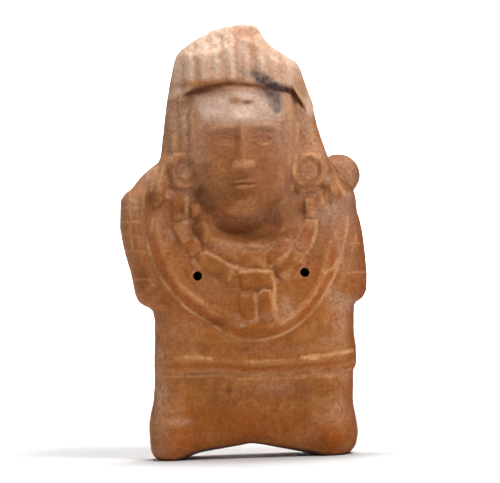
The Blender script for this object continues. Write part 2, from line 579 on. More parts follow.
# The skin of the pressed figure, as one closed sheet: the front and the back meet at the seam, the underside
# is trimmed off with a wire, and the broken top is a rough face of torn clay.
FOOT_ROUND = (4.5, 0.22)
BREAK_ROUND = (2.2, 0.16)
CAP_ROWS = 22
TORN_HEIGHT = 1.1
TORN_LUMPS = ((6, 1, 50), (2.4, 0.5, 51), (1.1, 0.25, 52))
SOLE_LUMPS = ((5, 0.25, 53),)


def rounding(height, edge_round):
    """Share of the depth that is left near an end of the figure, where its edge is rounded off."""
    radius, taken = edge_round
    t = np.clip(1 - height / radius, 0, 1)
    return 1 - taken * (1 - np.sqrt(1 - t * t))


def clay_point(x, out, z):
    """Points of the drawing at their real places, in metres."""
    real_x = figure_low.x + (x - DRAWN_LEFT) * mm_across
    real_y = figure_low.y + (DRAWN_FRONT - out) * mm_out
    return np.stack([real_x, real_y, figure_low.z + z * mm_up], axis=-1)


def round_the_ring(front_values, back_values):
    """Values of the front from left to right, and then those of the back from right to left."""
    return np.concatenate([front_values, back_values[:, -2:0:-1]], axis=1)


def placed(name, data):
    """A new object in the scene."""
    form = bpy.data.objects.new(name, data)
    bpy.context.scene.collection.objects.link(form)
    return form


def closed_sheet(name, x, z, front, back, cap_rows, cap_reliefs):
    """Closed form between a front and a back, with a cap of its own relief on the lower and the upper end."""
    rows, columns = x.shape
    ring = round_the_ring(clay_point(x, front, z), clay_point(x, -back, z))
    ring_size = ring.shape[1]
    points = [ring.reshape(-1, 3)]
    here = np.arange(ring_size) + ring_size * np.arange(rows - 1)[:, None]
    before = np.roll(here, 1, axis=1)
    faces = [np.stack([before, here, here + ring_size, before + ring_size], axis=-1).reshape(-1, 4)]
    added = rows * ring_size
    share = np.linspace(0, 1, cap_rows + 2)[1:-1, None]
    for row, cap_relief in zip((0, rows - 1), cap_reliefs):
        out = front[row] - (back[row] + front[row]) * share
        cap_x = x[row] + 0 * share
        inwards = np.sin(math.pi * share) * np.clip((front[row] + back[row]) / 12, 0, 1)
        cap = clay_point(cap_x, out, z[row] + cap_relief(cap_x, out) * inwards)
        points.append(cap[:, 1:-1].reshape(-1, 3))
        start = row * ring_size
        last = start + columns - 1
        inner_ids = added + np.arange(cap_rows * (columns - 2)).reshape(cap_rows, columns - 2)
        cap_ids = np.pad(inner_ids, ((0, 0), (1, 1)), constant_values=((0, 0), (start, last)))
        front_ids = start + np.arange(columns)
        back_ids = np.concatenate([[start], start + np.arange(ring_size - 1, columns - 1, -1), [last]])
        cap_ids = np.concatenate([[front_ids], cap_ids, [back_ids]])
        quads = np.stack([cap_ids[:-1, :-1], cap_ids[:-1, 1:], cap_ids[1:, 1:], cap_ids[1:, :-1]], axis=-1)
        faces.append(quads.reshape(-1, 4) if row else quads.reshape(-1, 4)[:, ::-1])
        added += inner_ids.size
    faces = [list(dict.fromkeys(corners)) for corners in np.concatenate(faces).tolist()]
    data = bpy.data.meshes.new(name)
    data.from_pydata(np.concatenate(points).tolist(), [], [corners for corners in faces if len(corners) > 2])
    return placed(name, data)


def torn(x, out):
    return TORN_HEIGHT * (roughness(x + 30, out, TORN_LUMPS) - 0.9)


def trimmed(x, out):
    return roughness(x, out, SOLE_LUMPS)


left_over = rounding(Z - sole_z, FOOT_ROUND) * rounding(broken_z - Z, BREAK_ROUND)
front = front * left_over
back = back * left_over
front[:, [0, -1]] = 0
rattle = closed_sheet("pressed_clay", X, Z, front, back, CAP_ROWS, (trimmed, torn))

# Marks that firing, burial and handling left on it, kept with the skin: pale dust in the hollows, ridges
# rubbed light, cream slip on the headdress, pink bloom on the brow, stains, redder spots, smoke and soot.
# A line is (strength, points of across, up and half width), and a patch is (across, up, two radii, strength).
VENT_PLACES = [(-18.2, 72.8), (24.2, 72.8)]
PALE_LINES = [
    (1, (-1.2, 74, 0.3), (5, 74.2, 0.4), (11, 73.4, 0.3)),
    (0.9, (11, 73.4, 0.2), (12.2, 68, 0.3), (11.8, 62, 0.6), (12, 57, 0.7), (13.6, 53.2, 0.4)),
    (0.5, (4.6, 65, 0.2), (4.6, 60, 0.2), (4.8, 55, 0.2)),
    (0.7, (6, 65, 0.2), (8, 66.6, 0.3), (10, 66, 0.2), (10.6, 63, 0.2)),
    (0.8, (-16.5, 81.5, 0.3), (-14.5, 82.2, 0.3), (-10, 80, 0.3), (-5, 76.5, 0.4), (0, 74.8, 0.3)),
    (0.5, (-19.5, 78.5, 0.6), (-17, 75.8, 0.4)), (0.8, (11, 75.8, 0.2), (15, 78.5, 0.4), (18.6, 82, 0.3)),
    (0.6, (20.6, 82.4, 0.2), (23, 80.4, 0.3), (26, 80.4, 0.2)),
    (0.9, (29.6, 93, 0.2), (29, 88, 0.3), (27.5, 84, 0.3), (25.6, 81, 0.3)),
    (0.6, (24.4, 92, 0.2), (22.6, 88, 0.3), (20.8, 85.2, 0.2)), (0.6, (25.4, 93.2, 0.2), (28.8, 93, 0.2)),
    (0.6, (24, 80, 0.6), (24, 76.5, 0.6)), (0.5, (8.6, 79, 0.2), (8.4, 75.6, 0.2)),
    (0.6, (-12, 87, 0.5), (-10.8, 86.2, 0.4)), (0.5, (12, 84.6, 0.2), (15, 86.2, 0.2), (18, 85.8, 0.2)),
    (0.6, (-21.6, 104, 0.3), (-21.4, 97, 0.3)), (0.5, (-25.6, 93.4, 0.5), (-22, 94, 0.4)),
    (0.4, (-18.6, 87.4, 0.2), (-16.6, 85.8, 0.2)), (0.6, (36.8, 89, 0.3), (36.9, 85.6, 0.3)),
    (0.9, (32, 72.4, 0.2), (34, 73.4, 0.3), (36, 74.2, 0.2), (37.4, 77.5, 0.3)),
    (0.6, (-24.8, 160, 0.4), (-24.8, 140, 0.3)), (0.7, (-24.8, 133, 0.3), (-24.5, 123, 0.3)),
    (0.6, (-29.2, 127, 0.3), (-30, 117, 0.3), (-31.6, 112, 0.3), (-33, 107, 0.3)),
    (0.6, (-32.8, 117, 0.3), (-34, 113, 0.3), (-35.6, 107.4, 0.3)),
    (0.6, (-31, 111, 0.2), (-31.8, 107, 0.2)),
    (0.6, (-37.4, 109, 0.4), (-38.8, 106, 0.4), (-39.3, 96, 0.3)), (0.5, (-35.2, 96, 0.2), (-36, 91, 0.2)),
    (0.9, (-25.6, 121.4, 0.3), (-19, 121.5, 0.3)),
    (0.8, (23.6, 132, 0.4), (23, 125, 0.5), (22.2, 120, 0.4), (21.5, 113, 0.4), (20.3, 106, 0.4)),
    (0.9, (25.6, 119.6, 0.3), (28.5, 119.5, 0.3), (31.6, 118, 0.3)),
    (0.4, (24.6, 105.4, 0.2), (31, 105.8, 0.2)), (0.6, (26.2, 101.5, 0.4), (26.4, 97, 0.3)),
    (0.6, (31.6, 104, 0.4), (32, 100, 0.6)),
    (0.8, (35.6, 118, 0.4), (37, 114, 0.3), (38.4, 109, 0.4), (40, 106, 0.5), (41, 104, 0.5)),
    (0.5, (29.3, 131, 0.3), (29.4, 124, 0.3)), (0.4, (-32, 71, 0.3), (-27, 65, 0.3), (-24, 61.4, 0.3)),
    (0.5, (-40, 95.2, 0.2), (-48, 95.2, 0.2)), (0.4, (-44.6, 94, 0.2), (-44.2, 88, 0.2)),
    (0.4, (0, 31.6, 0.2), (10, 31.2, 0.2), (20, 31.4, 0.2), (35, 31.6, 0.3)),
]
CREST_LINES = [
    (0.7, (13.6, 52.4, 0.3), (17, 54.6, 0.2), (20, 56.6, 0.2), (25, 60.8, 0.3), (28, 64.6, 0.3),
     (33, 73, 0.2)),
    (0.6, (-25.6, 70.2, 0.3), (-22.6, 67.4, 0.5), (-20, 65, 0.4), (-17, 62.6, 0.4), (-14.6, 61, 0.3)),
    (0.8, (-28, 40.8, 0.3), (-20, 40.9, 0.5), (-14, 40, 0.4)),
    (0.5, (0, 38.4, 0.2), (8, 38.3, 0.3), (19, 38.5, 0.1)),
    (1, (22, 39, 0.4), (26, 39.2, 0.9), (31, 39.7, 0.4), (36, 40.4, 0.5), (42, 41.2, 0.3)),
    (0.5, (-36, 55, 0.3), (-35, 52, 0.5)),
]
PALE_PATCHES = [
    (16.5, 58.5, 2.6, 4.5, 0.7), (-29.5, 15.5, 6.5, 1.4, 0.5), (34.5, 109.5, 1.8, 1.8, 0.9),
    (43, 103, 2.2, 1.4, 1), (33.5, 45, 4, 2.6, 0.35), (39, 31, 3.2, 3, 0.5), (-37, 112, 5, 4.6, 0.85),
    (35, 100, 3.4, 4, 0.5), (38.5, 80, 1.7, 9, 0.5), (34.5, 64, 2.4, 3.4, 0.7), (36, 18, 5.5, 6, 0.45),
    (-34, 42.5, 2, 2, 0.6), (32, 32, 3.4, 1.3, 0.5), (-33, 26, 3, 7, 0.3), (-17, 122, 4.5, 8, 0.5),
    (-26.6, 135, 3, 15, 1), (-32.6, 132, 2, 12, 0.7), (-23, 145.4, 3, 3, 0.8), (28, 133, 3, 12, 0.7),
    (-1.2, 53, 1.4, 1.2, 0.8), (-34, 97, 3, 4, 0.3), (-44, 104, 4, 3, 0.4), (42, 92, 3, 5, 0.3),
    (30, 124, 3, 5, 0.4), (-43, 84, 4, 12, 0.1), (-44, 102, 5, 5, 0.4), (42, 99, 4, 6, 0.3),
    (-2, 84.6, 9, 1.4, 0.4), (-9, 85, 3, 2, 0.4), (18, 104, 2.5, 3, 0.3), (-17, 139, 6, 6, 0.7),
    (-13, 131, 5, 4, 0.3), (16, 133, 4, 4, 0.3), (37, 52, 6, 6, 0.25), (-30, 52, 7, 6, 0.15),
    (5, 95.6, 9, 2.2, 0.5), (-20.5, 105, 2, 2.4, 0.5), (32, 97, 4, 4, 0.6), (-35, 115.5, 3, 3.4, 0.7),
    (38, 60, 4, 3.4, 0.6), (-35.6, 30, 2.6, 27, 0.6), (8, 56, 4, 2, 0.3), (18.5, 128, 4, 14, 0.5),
    (19.6, 141, 2.4, 5, 0.7), (33, 119, 3, 3, 0.5), (42, 60, 3, 3, 0.6), (4, 82.6, 15, 1.8, 0.35),
    (21, 84, 5, 3, 0.4), (-22, 91, 4, 2, 0.4), (-20.5, 140, 2.6, 8, 0.8), (37, 94, 4, 5, 0.3),
    (38.5, 50, 2, 12, 0.4), (-33, 7, 6, 6, 0.2), (24, 8, 4, 4, 0.25), (28, 15, 3, 3, 0.3),
    (20, 42.6, 22, 1.8, 0.2), (23.5, 130, 3, 16, 0.4), (-18.4, 142.4, 3, 3, 1), (-21.6, 130, 2, 14, 0.5),
    (12, 28, 9, 3, 0.25), (-28, 22, 3, 8, 0.25),
]
STAIN_LINES = [
    (0.9, (-20.4, 144.9, 0.2), (-17, 145.7, 0.8), (-12, 146.5, 1.3), (-8, 147, 0.9), (-3, 148, 0.3),
     (9, 147, 0.1)),
    (0.9, (22, 147, 0.5), (22, 144.6, 0.4), (23.3, 142.2, 0.5), (24.9, 139.8, 0.4), (26, 138.4, 0.1)),
    (0.8, (-34.2, 101.4, 0.3), (-29, 103.4, 0.3)),
    (0.6, (-27.4, 111, 0.5), (-28, 114.5, 0.5), (-26.6, 118, 0.4)),
]
STAINS = [
    (-13, 101, 7, 7, 0.5), (-17, 106.5, 3.4, 3, 0.5), (15, 98, 7, 5, 0.35), (0, 91, 12, 4, 0.15),
    (-7.5, 27, 0.9, 1.5, 1), (-12.5, 26, 1.6, 4, 0.35), (0, 43, 1.4, 1.6, 0.45), (5.5, 66.2, 2.6, 0.9, 0.8),
    (14, 73.2, 3, 2.4, 0.8), (24, 98, 3, 2.4, 0.5), (31.6, 113.5, 1.6, 3.4, 0.4),
    (-24.5, 98.5, 2.3, 3.6, 0.5), (27, 107.5, 3.4, 1, 0.5), (-22, 71, 8, 4, 0.15), (-38, 74, 5, 4, 0.3),
    (14.5, 11, 1.2, 1.4, 0.4), (46.5, 80, 2.4, 9, 0.4), (-2, 64, 4, 5, 0.15), (2, 44, 18, 3, 0.35),
    (-18, 60, 4, 3, 0.2), (-24, 148, 3, 6, 0.3), (22, 14, 2, 12, 0.3), (-21, 12, 2, 9, 0.3),
    (-10, 77, 8, 4, 0.3), (6, 71, 5, 3, 0.3), (30, 5, 9, 4, 0.25), (2, 11, 16, 6, 0.4), (1, 60, 4, 5, 0.25),
    (5, 87.8, 11, 2.6, 1), (-21, 98.6, 2, 2.6, 0.5), (-17, 91, 3, 4.6, 1), (-34, 105, 4, 6, 1),
    (-23, 117.4, 3, 2.4, 0.5), (-23, 95, 7, 10, 0.35), (5, 104, 8, 5, 0.2), (12, 92, 6, 3, 0.25),
    (-11, 54.6, 7, 2.2, 0.8), (-34, 70, 8, 8, 0.3), (5, 50, 8, 1.8, 0.35), (25.6, 98, 1.8, 3, 1),
    (-12, 20, 9, 11, 0.28), (22, 27, 7, 5, 0.28), (-23, 32.6, 7, 1.5, 0.45), (-2, 104, 10, 8, 0.4),
    (1, 52, 12, 2, 0.2), (37, 103.5, 3.4, 2.4, 0.6), (-18, 106, 4, 3, 0.3), (-18, 33.8, 9, 1.4, 0.5),
    (-9, 73.6, 3, 2.4, 0.5), (0, 27, 36, 7, 0.18), (-43, 89, 4, 8, 0.25), (22, 27, 9, 5, 0.2),
    (4, 140.4, 2.2, 1, 0.8), (-13, 146, 7, 2, 0.7),
]
RED_SPOTS = [
    (-29, 7, 7, 5, 0.9), (31, 7, 9, 6, 1), (0, 13, 24, 7, 0.8), (16, 112, 6, 6, 0.8), (43, 68, 4, 4, 0.7),
    (37, 103.5, 4, 3, 1), (-37.4, 91, 1.1, 5, 1), (-33.5, 104, 3, 3, 0.9), (-22, 74, 8, 8, 0.4),
    (27, 72, 7, 6, 0.6), (28, 57, 4, 3, 0.4), (5, 51, 9, 2.4, 0.8), (-18, 18, 7, 5, 0.4),
    (-20, 86, 2.4, 2.4, 0.7), (-15.5, 90.5, 2.4, 4, 0.9), (1, 60, 4, 6, 0.6), (5, 70.6, 6, 3, 0.7),
    (4, 44, 16, 5, 0.5), (-8, 62, 6, 6, 0.35),
]
SOOT_LINES = [
    (1, (9, 149.4, 0.4), (11.2, 148.1, 1), (13.8, 147, 1.1), (16.6, 146, 0.6), (19.6, 145.2, 0.2)),
    (0.7, (10.4, 149.2, 0.2), (12.8, 148.6, 0.4)), (0.5, (7.4, 152, 0.3), (9, 150.8, 0.4)),
    (0.6, (10.4, 151.2, 0.1), (12, 149.8, 0.3)),
    (0.6, (10.8, 145.6, 0.1), (12.2, 144.4, 0.3), (13.4, 143.2, 0.2)),
    (0.3, (6.4, 154.2, 0.1), (7.4, 153.4, 0.2)), (0.4, (2, 153.4, 0.2), (2.8, 152.4, 0.1)),
    (0.3, (2.4, 151, 0.1), (3.6, 150.8, 0.1)),
]
SMOKE_LINES = [
    (1, (15, 143.4, 1), (15.4, 137.6, 0.7)), (0.75, (12, 144, 0.9), (13.8, 139.4, 0.7)),
    (0.4, (9.4, 144.8, 0.6), (11.8, 141, 0.6)),
    (0.65, (6.6, 151.8, 0.5), (8.6, 150.8, 1), (10.8, 149, 1.2), (14, 147.2, 0.6), (18.6, 145.6, 0.2)),
]


def strokes(lines, fade):
    """Share of each point that the strokes cover, fading out beside them."""
    return np.max([k * band(np.maximum(strip(X, Z, path), 0), fade) for k, *path in lines], axis=0)


def patches(*places):
    """Soft round patches, each with its own strength."""
    return np.clip(sum(mound(X, Z, place[:2], place[2:4], place[4]) for place in places), 0, 1)


def uneven_share(size, seed, least):
    """Share that comes and goes along a line, from its least to 1."""
    return least + (1 - least) * ramp(lumps(X, Z, size, seed), -0.5, 0.4)


def strongest(*shares):
    """The strongest of several marks at each point."""
    return np.max(np.broadcast_arrays(*shares), axis=0)


in_neck = patches((2, 91, 15, 7.5, 1), (-13, 103, 7, 6, 0.8), (14, 97, 8, 5, 0.8))
low_collar = collar_share * (1 - ramp(Z, 88, 106))
on_bead = ramp(-outside_bead, 0.6, 2) * (1 - on_head)
off_crown = 1 - on_crown
in_groove = ramp(sunk, 0.1, 0.55) * (1 - 0.7 * on_head) * (1 - in_neck)
turned_away = (1 - ramp(edge, 0.5, 0.92)) * (0.3 + 0.7 * ramp(X, -5, 5))
from_vent = np.min([np.hypot(X - vent_x, Z - vent_z) for vent_x, vent_z in VENT_PLACES], axis=0)
dust = strongest(
    0.45 * in_groove * uneven_share(3.5, 60, 0) * (1 - 0.8 * band(outside_collar - 1, 2.2) * low_collar),
    boss_dust * uneven_share(1.6, 81, 0.5),
    0.5 * band(from_vent - 2.3, 0.5) * uneven_share(2, 82, 0.2),
    patches(*PALE_PATCHES) * (0.8 + 0.2 * lumps(X, Z * 0.4, 1.6, 72)),
    0.55 * (1 - ramp(edge, 0.3, 0.8)) * ramp(-X, 5, 20) * off_crown,
)
not_rubbed = patches((-11, 55, 8, 3, 0.9), (6, 51, 8, 2.4, 0.7), (-20, 60, 5, 3, 0.5))
ridges = 0.55 * ramp(-sunk, 0.15, 0.6) * uneven_share(4, 70, 0.2) * ramp(Z, 14, 24)
worn = strongest(
    ridges * (1 - not_rubbed) * (1 - 0.8 * patches(*STAINS)),
    band(outside_collar - 0.2, 0.6) * low_collar * uneven_share(7, 65, 0.4),
    0.6 * band(block_line, 0.4) * on_sleeve * uneven_share(5, 67, 0.1),
    0.4 * band(above_hem + 6.4, 0.5) * uneven_share(7, 68, 0.1),
    0.25 * band(above_hem + 4, 1.1),
    strokes(CREST_LINES, 0.4) * uneven_share(2, 73, 0.6),
    strokes(PALE_LINES, 0.45) * uneven_share(2.2, 66, 0.5),
)
brown_brim = patches(
    (-16, 148.4, 12, 1.9, 0.9), (25, 146, 4, 4, 0.6), (9, 162, 4, 3, 0.4), (5, 168.5, 4, 3, 0.4),
    (0, 152, 30, 6, 0.2), (2, 168.5, 5, 3, 0.35),
)
streaks = lumps(X, Z * 0.2, 1.7, 74)
slip = on_crown * (1 - brown_brim) * np.clip(0.6 + 0.65 * ridge + 0.18 * streaks + 0.2 * broken, 0, 1)
bare_brow = patches((-1, 141.6, 2.3, 1.5, 1), (4, 140.6, 2.6, 1.3, 1), (-14, 146.2, 9, 2.6, 1))
bloom = patches((-3, 138.4, 15, 4.6, 1), (2, 143, 13, 4, 0.5), (-16, 140, 6, 6, 0.3), (7, 136.6, 10, 5, 0.7))
bloom = bloom * (0.85 + 0.3 * lumps(X, Z, 4, 77)) * below_brim * on_head * (1 - bare_brow)
stain = strongest(
    patches(*STAINS),
    strokes(STAIN_LINES, 0.5),
    0.4 * in_groove * (1 - uneven_share(3.5, 60, 0)),
    0.4 * band(outside_bead - 0.5, 0.6) * (1 - on_head) * uneven_share(4, 78, 0.3),
    0.28 * on_bead,
    1 - ramp(Z - sole_z, 0.5, 1.6),
    0.5 * turned_away * off_crown * (1 - ramp(Z, 118, 126)),
)
red = strongest(
    patches(*RED_SPOTS),
    0.8 * on_bead * uneven_share(6, 75, 0.4),
    band(outside_collar + 2.6, 1.7) * low_collar,
    0.7 * band(above_hem + 3, 1.8),
    0.35 * ramp(lumps(X, Z, 13, 76), 0.1, 0.8) * off_crown,
    0.7 * turned_away * off_crown,
)
smudges = strokes(SOOT_LINES, 1.1) * (0.85 + 0.5 * lumps(X, Z, 1.5, 61) + 0.3 * lumps(X, Z, 1.5 / 2.3, 62))
lower_edge = 0.85 * (1 - ramp(Z - sole_z, 0.6, 1.9)) * (1 - patches((1, 7, 9, 6, 0.9)))
soot = strongest(np.clip(smudges, 0, 1), lower_edge)
smoke = strokes(SMOKE_LINES, 1.2) * (0.8 + 0.3 * lumps(X, Z, 2.2, 79))
wiped_clean = patches((0, 97, 12, 12, 0.8), (37, 103, 4, 3, 0.9), (-33, 105, 4, 5, 0.8))
film = 0.7 * ramp(Z, 62, 100) * (0.75 + 0.35 * lumps(X, Z, 9, 80)) + 0.05
film = film + patches(
    (34, 95, 9, 9, 0.5), (14, 128, 9, 15, 0.4), (-15, 104, 6, 5, 0.3), (-14, 66, 9, 5, 0.4),
    (43, 78, 4, 9, 0.4), (25, 97, 7, 6, 0.3), (-25, 50, 9, 9, 0.3), (10, 27, 10, 4, 0.3),
)
film = film * (1 - 0.9 * wiped_clean) * (1 - 0.7 * ramp(-outside_bead, 0, 1.5) * (1 - on_head))
film = film * (1 - 0.8 * on_crown)

# Each mark on the front, on the back, and on the soles and the broken top
back_sunk = rubbed(back, HOLLOW_PASSES) - back
marks = {
    "film": (film, 0.35 * ramp(Z, 40, 110), 0.3),
    "dust": (dust, 0.5 * ramp(back_sunk, 0.05, 0.4), 0.1),
    "worn": (worn, 0.6 * ramp(-back_sunk, 0.05, 0.4), 0.2),
    "slip": (slip, 0.35 * ramp(Z, 130, 160), 0.7),
    "bloom": (bloom, 0, 0),
    "stain": (stain, 0.25 * ramp(lumps(X, Z, 22, 62), 0.1, 0.8), 0.2),
    "red": (red, 0.5 * ramp(lumps(X, Z, 16, 63), 0, 0.8), 0.2),
    "smoke": (smoke, 0.5 * ramp(lumps(X, Z, 19, 64), 0.4, 1), 0),
    "soot": (soot, 0, 0.05),
}
ring_points = 2 * COLUMNS - 2
cap_points = len(rattle.data.vertices) - ROWS * ring_points
near_seam = 1 - ramp(edge, 0.5, 0.97)
for name, (front_mark, back_mark, cap_mark) in marks.items():
    seam_mark = np.where(across(X, Z) < 0, front_mark[:, :1], front_mark[:, -1:])
    back_mark = back_mark + (seam_mark - back_mark) * near_seam
    values = np.append(round_the_ring(front_mark, back_mark), np.full(cap_points, cap_mark))
    rattle.data.attributes.new(name, "FLOAT", "POINT").data.foreach_set("value", values)

# The hollow that makes it a rattle, one wall in from the skin, and the two vents bored into it through the
# wet chest. The pellets don't show, so there are none. The headdress above it is solid.
WALL = 5.5
CHAMBER_TOP = 146
CHAMBER_ROUND = (9, 0.5)
CHAMBER_COLUMNS = 40
CHAMBER_ROWS = 52
WALL_TURN = math.radians(80)
WALL_STEPS = 9
VENT_DIAMETER = 3.6
VENT_SIDES = 32
ways = [(math.sin(turn), math.cos(turn)) for turn in np.linspace(-WALL_TURN, WALL_TURN, WALL_STEPS)]


def thinned(form, x, z):
    """Depth of a form less one wall, measured square to its surface."""
    inner = np.min([form(x, z + WALL * up) - WALL * out for up, out in ways], axis=0)
    share = np.clip((2 * x - inner_left(z) - inner_right(z)) / (inner_right(z) - inner_left(z)), -1, 1)
    return np.maximum(inner, 1) * section(share, 6)


def inner_left(z):
    return np.max([along(LEFT_SIDE, z + WALL * up) + WALL * out for up, out in ways], axis=0)


def inner_right(z):
    return np.min([along(RIGHT_SIDE, z + WALL * up) - WALL * out for up, out in ways], axis=0)


def inner_floor(x):
    return np.max([along(FOOT_LINE, x + WALL * over) + WALL * out for over, out in ways], axis=0)


def flat(x, out):
    return 0 * x


inner_level = np.linspace(0, 1, CHAMBER_ROWS)[:, None]
low_left = inner_floor(LEFT_SIDE[0][1] + WALL)
low_right = inner_floor(RIGHT_SIDE[0][1] - WALL)
inner_left_x = inner_left(low_left + (CHAMBER_TOP - low_left) * inner_level)
inner_right_x = inner_right(low_right + (CHAMBER_TOP - low_right) * inner_level)
inner_x = inner_left_x + (inner_right_x - inner_left_x) * (evenly_round(CHAMBER_COLUMNS)[None, :] + 1) / 2
inner_low = inner_floor(inner_x[:1])
inner_z = inner_low + (CHAMBER_TOP - inner_low) * inner_level
narrowed = rounding(inner_z - inner_low, CHAMBER_ROUND) * rounding(CHAMBER_TOP - inner_z, CHAMBER_ROUND)
inner_front = thinned(plain_front, inner_x, inner_z) * narrowed
inner_back = thinned(plain_back, inner_x, inner_z) * narrowed
inner_front[:, [0, -1]] = 0
chamber = closed_sheet("chamber_cutter", inner_x, inner_z, inner_front, inner_back, 3, (flat, flat))

# The knob: a ball of clay, a little dented, that is luted on behind the shoulder. It is drawn in the same
# millimetres as the body, and it is paler than the sleeve.
KNOB_CENTRE = (39.7, 1.5, 111)
KNOB_RADII = (8.2, 7.5, 8.6)
KNOB_LUMPS = ((7, 0.3, 70), (3, 0.06, 71))
KNOB_MARKS = {"film": 0.8, "dust": 0.4}
KNOB_STAIN = (43.2, 47)
KNOB_STAIN_UP = (115.5, 119.5)


def shaped(name, mesh):
    """A new object with a modelled mesh."""
    data = bpy.data.meshes.new(name)
    mesh.to_mesh(data)
    mesh.free()
    return placed(name, data)


ball = bmesh.new()
bmesh.ops.create_uvsphere(ball, u_segments=64, v_segments=40, radius=1)
for vert in ball.verts:
    x, y, z = (middle + way * radius for middle, way, radius in zip(KNOB_CENTRE, vert.co, KNOB_RADII))
    dent = roughness(np.array(x + 0.7 * y), np.array(z + 0.7 * y), KNOB_LUMPS)
    vert.co = clay_point(x + vert.co.x * dent, -y - vert.co.y * dent, z + vert.co.z * dent)
knob = shaped("knob_form", ball)

# Assembly in the clay: the back needs fewer facets than the pressed front. The knob is joined on, the feet
# are trimmed flat where they stand, and the chamber and the vents are cut out.
BACK_FACETS = 0.565
KNOB_SKIN = (0.93, 1.03)
GROUND_BLOCK = Vector((0.3, 0.2, 0.05))
VENT_MIDDLE = 0.62
IN_WALL = 0.7 * WALL


def bake(form):
    """Makes what the modifiers show the form's own mesh."""
    bpy.context.view_layer.update()
    seen = bpy.data.meshes.new_from_object(form.evaluated_get(bpy.context.evaluated_depsgraph_get()))
    form.modifiers.clear()
    form.data = seen


def cut(form, tool, operation):
    """Joins a form and a tool, or cuts the tool out, and keeps the result as the form's own mesh."""
    change = form.modifiers.new(operation.title(), "BOOLEAN")
    change.operation = operation
    change.object = tool
    change.solver = "EXACT"
    bake(form)
    bpy.data.objects.remove(tool)


def drawn(points):
    """Real points as they are in the drawing: across, back and up, in millimetres."""
    return (points - figure_low) / (mm_across, mm_out, mm_up) + (DRAWN_LEFT, -DRAWN_FRONT, 0)


behind = rattle.vertex_groups.new(name="behind")
ring_back = np.arange(ROWS)[:, None] * ring_points + np.arange(COLUMNS + 3, ring_points - 3)
plain_ids = np.append(ring_back, np.arange(ROWS * ring_points, len(rattle.data.vertices)))
behind.add(plain_ids.tolist(), 1, "ADD")
fewer = rattle.modifiers.new("Fewer facets behind", "DECIMATE")
fewer.ratio = BACK_FACETS
fewer.vertex_group = "behind"
bake(rattle)
cut(rattle, knob, "UNION")
block = bmesh.new()
bmesh.ops.create_cube(block, size=1)
for vert in block.verts:
    vert.co = (vert.co - Vector((0, 0, 0.5))) * GROUND_BLOCK + Vector((0, 0, figure_low.z))
cut(rattle, shaped("ground_cutter", block), "DIFFERENCE")
cut(rattle, chamber, "DIFFERENCE")
for vent_x, vent_z in VENT_PLACES:
    bore = bmesh.new()
    bmesh.ops.create_cone(
        bore,
        cap_ends=True,
        segments=VENT_SIDES,
        radius1=VENT_DIAMETER / 2 * mm_up,
        radius2=VENT_DIAMETER / 2 * mm_up,
        depth=DRAWN_FRONT * mm_out,
    )
    place = clay_point(np.array(vent_x), np.array(DRAWN_FRONT * VENT_MIDDLE), np.array(vent_z))
    for vert in bore.verts:
        vert.co = Vector((vert.co.x, vert.co.z, vert.co.y)) + Vector(place)
    bmesh.ops.reverse_faces(bore, faces=bore.faces)
    cut(rattle, shaped("vent_cutter", bore), "DIFFERENCE")

# The knob has marks of its own, and the hollow's walls, most of a wall in from the skin, have none
points = np.zeros(len(rattle.data.vertices) * 3)
rattle.data.vertices.foreach_get("co", points)
points = drawn(points.reshape(-1, 3))
from_ball = np.linalg.norm((points - KNOB_CENTRE) / KNOB_RADII, axis=1)
on_knob = (from_ball > KNOB_SKIN[0]) & (from_ball < KNOB_SKIN[1])
aside, behind_seam, up = points.T
in_hollow = (up > along(FOOT_LINE, aside) + IN_WALL) & (up < CHAMBER_TOP + IN_WALL)
in_hollow = in_hollow & (-behind_seam < plain_front(aside, up) - IN_WALL)
in_hollow = in_hollow & (behind_seam < plain_back(aside, up) - IN_WALL)
knob_stain = 0.6 * np.maximum(ramp(aside, *KNOB_STAIN), ramp(up, *KNOB_STAIN_UP))
for name in marks:
    layer = rattle.data.attributes[name]
    values = np.zeros(len(rattle.data.vertices))
    layer.data.foreach_get("value", values)
    values[on_knob] = knob_stain[on_knob] if name == "stain" else KNOB_MARKS.get(name, 0)
    values[in_hollow] = 0
    layer.data.foreach_set("value", values)
rattle.name = "fired_rattle"
rattle.data.name = "fired_rattle"
rattle.data.shade_smooth()

# Its surface: unglazed, low-fired clay, matt with a faint sheen where hands polished it. The colours are
# layered as they came about: clay, redder firing, rubbed ridges, stains, dust, slip and soot, and grit.
# A layer is a mark, its colour and strength, the size of its patches, and where they begin and are full
LAYERS = [
    ("red", (0.410, 0.095, 0.005), 0.95, 5, 0.1, 0.4),
    ("film", (0.380, 0.170, 0.100), 0.8, 8, 0.05, 0.4),
    ("dust", (0.700, 0.440, 0.300), 0.95, 1.7, 0.2, 0.55),
    ("stain", (0.130, 0.041, 0.012), 0.8, 7, 0.1, 0.45),
    ("worn", (0.760, 0.400, 0.185), 1, 1.5, 0.2, 0.5),
    ("slip", (0.930, 0.670, 0.520), 0.95, 2.2, 0.1, 0.4),
    ("bloom", (0.960, 0.730, 0.610), 0.95, 2.6, -0.1, 0.4),
]
clay = bpy.data.materials.new("fired_clay")
clay.use_nodes = True
tree = clay.node_tree
surface = tree.nodes["Principled BSDF"]


def add(kind, sockets=(), **settings):
    """A node with its settings, and its sockets set to values or joined to other nodes."""
    made = tree.nodes.new("ShaderNode" + kind)
    for key, value in settings.items():
        setattr(made, key, value)
    for key, value in dict(sockets).items():
        if isinstance(value, bpy.types.NodeSocket):
            tree.links.new(value, made.inputs[key])
        else:
            made.inputs[key].default_value = value
    return made


